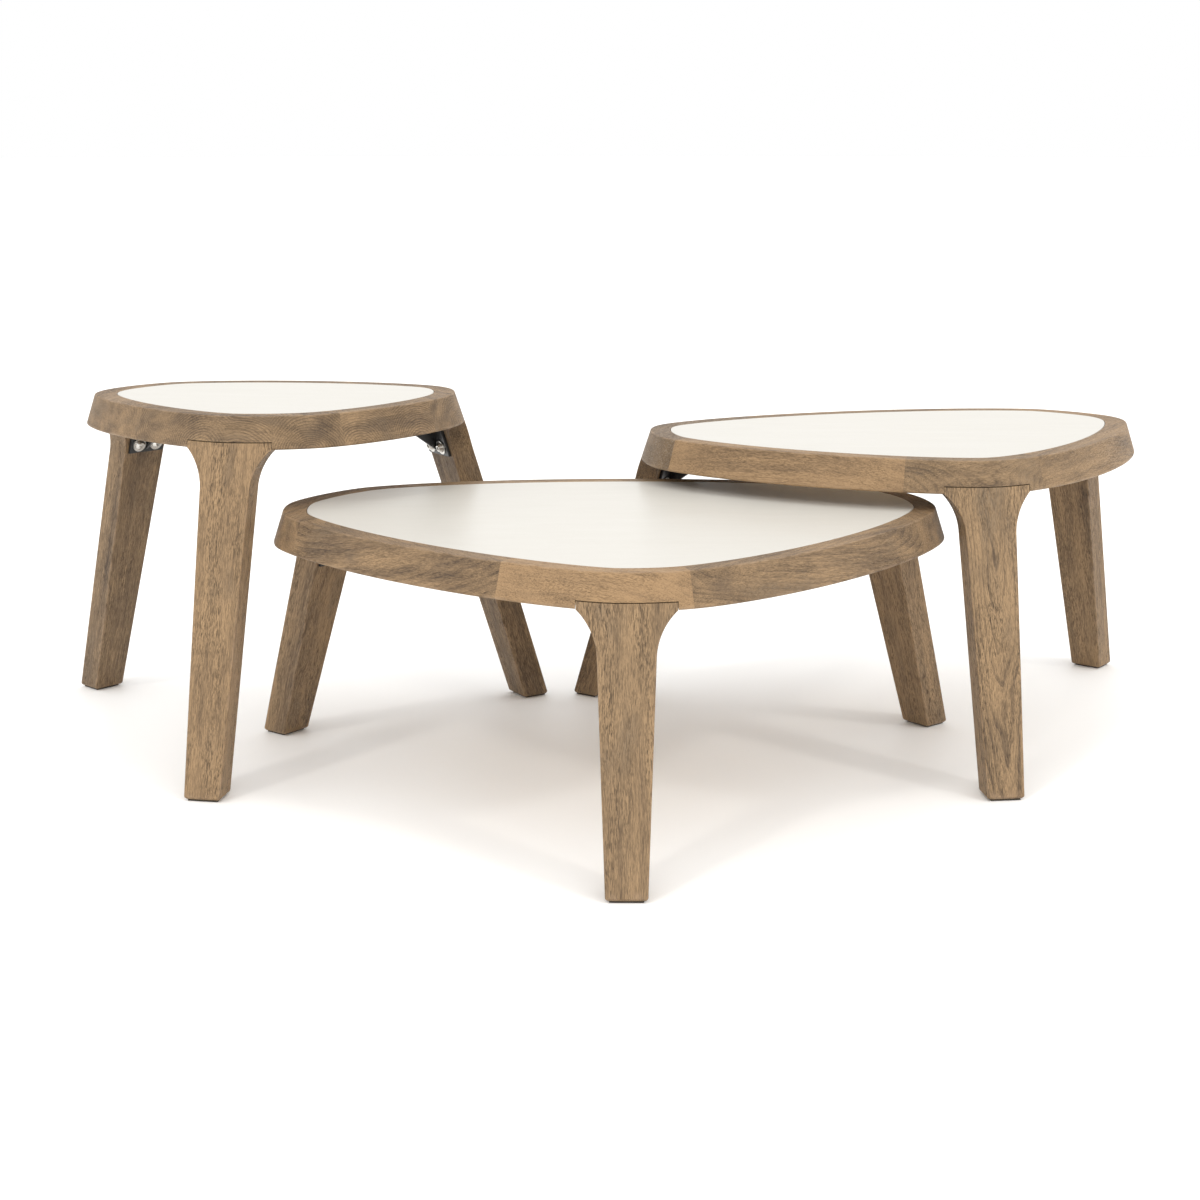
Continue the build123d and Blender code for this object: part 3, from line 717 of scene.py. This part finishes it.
# ---------------------------------------------------------------- legs
def leg_piece(name, tb, key, deg):
    c, at, h = tb["c"], tb["at"], tb["h"]
    o, nx, ty = leg_frame(tb, deg)
    drop = h - FRAME_T
    hw, sw, fw = HEAD_W / 2, STEM_W / 2, FOOT_W / 2
    dx = hw - sw
    rad = (STEM_DROP ** 2 + dx ** 2) / (2 * dx)
    t1 = math.asin(STEM_DROP / rad)
    foot = GLIDE_T - drop
    zc = foot + FOOT_EASE
    levels = [(HEAD_UP, hw, 0.0), (HEAD_UP - 1.2, hw, 0.0), (HEAD_UP / 2, hw, 0.0), (0.9, hw, 0.0), (0.0, hw, 0.0)]
    for i in range(1, 25):
        t = t1 * (1 - i / 24)
        levels.append((-STEM_DROP + rad * math.sin(t), sw + rad * (1 - math.cos(t)), 0.0))
    steps = int((STEM_DROP * -1 - zc) // 7)
    for i in range(1, steps + 1):
        u = i / steps
        levels.append((-STEM_DROP + (zc + STEM_DROP) * u, sw + (fw - sw) * u, 0.0))
    for i in range(1, 6):
        t = math.radians(90 * i / 5)
        levels.append((foot + FOOT_EASE * (1 - math.sin(t)), fw, FOOT_EASE * (1 - math.cos(t))))

    dense = np.linspace(math.radians(deg) - 1.45, math.radians(deg) + 1.45, 1500)
    rings = []
    for z, w, inset in levels:
        ze = max(z, zc)
        q = outline(c, at, side_off(h, drop + ze), dense) - o
        tt, nn = q @ ty, q @ nx
        good = np.abs(tt) < 90
        tt, nn = tt[good], nn[good]

        def n_out(t):
            return np.interp(t, tt, nn) - inset - 0.03
        w2 = w - inset
        n_in = -SLOPE * ze - LEG_T + inset
        r = 1.7 if z < -2 else (1.7 if z < 0 else 0.6)
        loop = []
        e = 1.0
        ts = np.linspace(-w2 + 3.2, w2 - 3.2, 17)
        c1 = (float(n_out(w2)), w2)
        c0 = (float(n_out(-w2)), -w2)
        start = fillet((c0[0] - 10, -w2), c0, (float(n_out(-w2 + e)), -w2 + e), r, 4)
        loop += start
        loop += [np.array((float(n_out(t)), t)) for t in ts]
        loop += fillet((float(n_out(w2 - e)), w2 - e), c1, (c1[0] - 10, w2), r, 4)
        for u in (0.15, 0.35, 0.65, 0.85):
            loop.append(np.array((c1[0] + (n_in - c1[0]) * u, w2)))
        loop += fillet((n_in + 10, w2), (n_in, w2), (n_in, w2 - 10), 1.7 if z < 0 else 0.6, 4)
        for u in np.linspace(w2 - 4, -w2 + 4, 11):
            loop.append(np.array((n_in, u)))
        loop += fillet((n_in, -w2 + 10), (n_in, -w2), (n_in + 10, -w2), 1.7 if z < 0 else 0.6, 4)
        for u in (0.15, 0.35, 0.65, 0.85):
            loop.append(np.array((n_in + (c0[0] - n_in) * u, -w2)))
        loop = np.array(loop)
        xy = o + loop[:, :1] * nx + loop[:, 1:] * ty
        rings.append(np.column_stack([xy, np.full(len(xy), drop + z)]))
    grid = np.stack(rings, 0)
    n, k = grid.shape[:2]
    faces = [(i * k + j, i * k + (j + 1) % k, (i + 1) * k + (j + 1) % k, (i + 1) * k + j)
             for i in range(n - 1) for j in range(k)]
    faces += [tuple(range(k)), tuple((n - 1) * k + j for j in reversed(range(k)))]
    ob = new_mesh(f"{name}_leg_{key}_piece", grid.reshape(-1, 3), faces)
    mid = np.array([*(o + nx * (SLOPE * drop / 2 - LEG_T / 2)), drop / 2]) * 0.001
    along = np.array([nx[0] * SLOPE, nx[1] * SLOPE, -1.0])
    return ob, mid, along, np.array([nx[0], nx[1], 0.0])


# ---------------------------------------------------------------- inlay
def inlay_piece(name, tb):
    h = tb["h"]
    c, at = inlay_curve(tb)
    a = spread(tb, 0.0, 2 * math.pi, 4.0, 0.0)[:-1]
    off = -0.75
    rows = [(off, -INLAY_T)]
    rows += [(off, -2.5)]
    for i in range(5):
        t = math.radians(90 * i / 4)
        rows.append((off - 0.7 * (1 - math.cos(t)), -0.7 * (1 - math.sin(t))))
    rows += [(off - 2.0, 0.0)]
    grid = [np.column_stack([outline(c, at, o, a), np.full(len(a), h + dz)]) for o, dz in rows]
    base = outline(c, at, off - 2.0, a)
    cen = base.mean(0)
    for s in (0.9, 0.75, 0.55, 0.35, 0.15):
        grid.append(np.column_stack([cen + (base - cen) * s, np.full(len(a), h)]))
    k = len(a)
    n = len(grid)
    verts = np.concatenate(grid)
    faces = [(i * k + j, i * k + (j + 1) % k, (i + 1) * k + (j + 1) % k, (i + 1) * k + j)
             for i in range(n - 1) for j in range(k)]
    faces += [tuple(range(k)), tuple((n - 1) * k + j for j in reversed(range(k)))]
    return new_mesh(f"{name}_inlay_piece", verts, faces)


# ---------------------------------------------------------------- assembly
def finish_piece(ob, mat, node, body, deg=34.0):
    ob.data.materials.clear()
    ob.data.materials.append(MATS[mat])
    smooth(ob, deg)
    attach(ob, body)
    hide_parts(node)


def on_side(tb, deg, dz):
    # a point on the sloped side, at a height dz from the top, and which way it faces
    a = math.radians(deg)
    p = outline(tb["c"], tb["at"], BORDER - SLOPE * dz, a)
    return np.array([p[0], p[1], tb["h"] + dz]) * 0.001, np.array([math.cos(a), math.sin(a), 0.0])


SPOTS = {
    "large_ring_front_left_rail": [(224.5, -24.0, 13.0, 11.0, 0.55), (233.0, -18.0, 17.0, 12.0, 0.22)],
    "large_ring_front_right_rail": [(301.0, -20.0, 15.0, 12.0, 0.42)],
    "small_ring_right_rail": [(317.0, -26.0, 9.0, 16.0, 0.30)],
    "small_ring_front_corner": [(296.0, -22.0, 9.0, 14.0, 0.22)],
}

for name, tb in TABLES.items():
    body = f"{name}_table"
    cutters = [(head_cutter(f"{name}_cut_{k}", tb, d), d) for k, d in tb["legs"].items()]
    js = tb["joints"]
    for i, (seg, a0) in enumerate(js):
        a1 = js[(i + 1) % len(js)][1]
        node = f"{name}_ring_{seg}"
        ob = ring_piece(name, tb, seg, a0, a1)
        co = coords(ob.data)
        lo, hi = co.min(0), co.max(0)
        near = []
        for k, _ in cutters:
            kc = coords(k.data)
            if (kc.min(0) < hi).all() and (kc.max(0) > lo).all():
                near.append(k)
        cut(ob, near)
        span = (a1 - a0) % 360
        p0, n0 = on_side(tb, a0, -20)
        p1, n1 = on_side(tb, a0 + span, -20)
        arcs = []
        for deg, dz in WOOD[node].get("arcs", []):
            p, out = on_side(tb, deg, dz)
            arcs.append((p, out + np.array([0, 0, 0.12])))
        spots = []
        for deg, dz, rx, rz, k in SPOTS.get(node, []):
            p, _ = on_side(tb, deg, dz)
            spots.append((p, rx * 0.001, rz * 0.001, k))
        wood_fields(ob, node, (p0 + p1) / 2, p1 - p0, (0, 0, 1), arcs, spots)
        finish_piece(ob, "frame_wood", node, body)
    for k, _ in cutters:
        bpy.data.objects.remove(k)
    for key, deg in tb["legs"].items():
        node = f"{name}_leg_{key}"
        ob, mid, along, out = leg_piece(name, tb, key, deg)
        wood_fields(ob, node, mid, along, out)
        finish_piece(ob, "leg_wood", node, body)
    ob = inlay_piece(name, tb)
    finish_piece(ob, "pale_stone", f"{name}_inlay", body, 50.0)

# CAD nodes that keep their own shape get their materials, and rounded edges on the brackets, glides, bolts and washers
replaced = {f"{t}_{p}" for t in TABLES for p in ("inlay",)} | set(WOOD)
for node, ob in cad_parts.items():
    if node in replaced:
        continue
    if "tenons" in node:
        m = "beech"
    elif "leg_bolts" in node or "washers" in node:
        m = "bright_steel"
    elif "inserts" in node or "screws" in node:
        m = "zinc_steel"
    elif "bracket" in node:
        m = "black_steel"
    elif "base_board" in node:
        m = "plywood"
    else:
        m = "dark_glide"
    ob.data.materials.clear()
    ob.data.materials.append(MATS[m])
    if "_bracket_" in node and "screws" not in node or "glides" in node or "leg_bolts" in node or "washers" in node:
        b = ob.modifiers.new("ease", "BEVEL")
        b.width = 0.0006 if "bracket" in node else 0.0004
        b.segments = 2
        b.limit_method = "ANGLE"
        b.angle_limit = math.radians(40)
        b.use_clamp_overlap = True

# ---------------------------------------------------------------- floor, light, camera
floor_n = Nodes("studio_floor")
fp = floor_n.obj()
fc = floor_n.mix(floor_n.noise(fp, scale=1.4, detail=2), (0.925, 0.920, 0.905), (0.935, 0.931, 0.918))
floor_n.put(floor_n.bsdf.inputs["Base Color"], fc)
floor_n.put(floor_n.bsdf.inputs["Roughness"], floor_n.range(floor_n.noise(fp, scale=6.0, detail=3), 0.3, 0.7, 0.50, 0.58))
floor_n.bsdf.inputs["Specular IOR Level"].default_value = 0.2
seg = 96
verts = [(0.0, 0.0, 0.0)]
for r in (2.0, 5.0, 12.0, 40.0):
    verts += [(r * math.cos(2 * math.pi * i / seg), r * math.sin(2 * math.pi * i / seg), 0.0) for i in range(seg)]
faces = [(0, 1 + i, 1 + (i + 1) % seg) for i in range(seg)]
for ring in range(3):
    b0, b1 = 1 + ring * seg, 1 + (ring + 1) * seg
    faces += [(b0 + i, b1 + i, b1 + (i + 1) % seg, b0 + (i + 1) % seg) for i in range(seg)]
fm = bpy.data.meshes.new("studio_floor")
fm.from_pydata(verts, [], faces)
floor = bpy.data.objects.new("studio_floor", fm)
floor.data.materials.append(floor_n.mat)
bpy.context.scene.collection.objects.link(floor)
floor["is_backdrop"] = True

world = bpy.data.worlds.new("studio")
bpy.context.scene.world = world
world.use_nodes = True
wn, wl = world.node_tree.nodes, world.node_tree.links
bg = wn["Background"]


def wnode(kind, *ins, op=None):
    n = wn.new(kind)
    if op:
        n.operation = op
    for k, q in enumerate(ins):
        if isinstance(q, bpy.types.NodeSocket):
            wl.new(q, n.inputs[k])
        elif q is not None:
            n.inputs[k].default_value = q
    return n


# a white studio: bright low down all round, with its big soft fill on the -Y side
way = wnode("ShaderNodeSeparateXYZ", wn.new("ShaderNodeTexCoord").outputs["Generated"]).outputs
fill = wnode("ShaderNodeMapRange", way[1], 0.9, -0.9, FILL_BACK, FILL_FRONT).outputs[0]
low = wnode("ShaderNodeMapRange", way[2], 0.12, 0.55, 1.0, 0.0).outputs[0]
rest = wnode("ShaderNodeMath", 1.0, low, op="SUBTRACT").outputs[0]
part = wnode("ShaderNodeMath", fill, rest, op="MULTIPLY").outputs[0]
wl.new(wnode("ShaderNodeMath", part, low, op="ADD").outputs[0], bg.inputs[1])
bg.inputs[0].default_value = (1.0, 1.0, 1.0, 1.0)


def sun(name, azimuth, elevation, strength, angle, color):
    li = bpy.data.lights.new(name, "SUN")
    li.energy = strength
    li.angle = math.radians(angle)
    li.color = color
    ob = bpy.data.objects.new(name, li)
    a, e = math.radians(azimuth), math.radians(elevation)
    to = Vector((math.cos(e) * math.cos(a), math.cos(e) * math.sin(a), math.sin(e)))
    ob.location = to * 4.0
    ob.rotation_euler = to.to_track_quat("Z", "Y").to_euler()
    bpy.context.scene.collection.objects.link(ob)
    return ob


# azimuth: the side the light comes from, from +X towards +Y
sun("key_left", -133.0, 42.0, KEY, 6.0, (1.0, 0.965, 0.915))
sun("key_right", -34.0, 42.0, KEY, 6.0, (1.0, 0.965, 0.915))

cam = bpy.data.cameras.new("camera")
cam.lens = 63.0
cam.sensor_width = 36.0
cam.clip_end = 100.0
camera = bpy.data.objects.new("camera", cam)
camera.location = (-0.0088, -2.5939, 0.8097)
camera.rotation_euler = (math.pi / 2 - 0.2268, 0.0, 0.0)
bpy.context.scene.collection.objects.link(camera)
bpy.context.scene.camera = camera
bpy.context.scene.view_settings.view_transform = "Standard"
bpy.context.scene.view_settings.look = "None"

lo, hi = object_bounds()
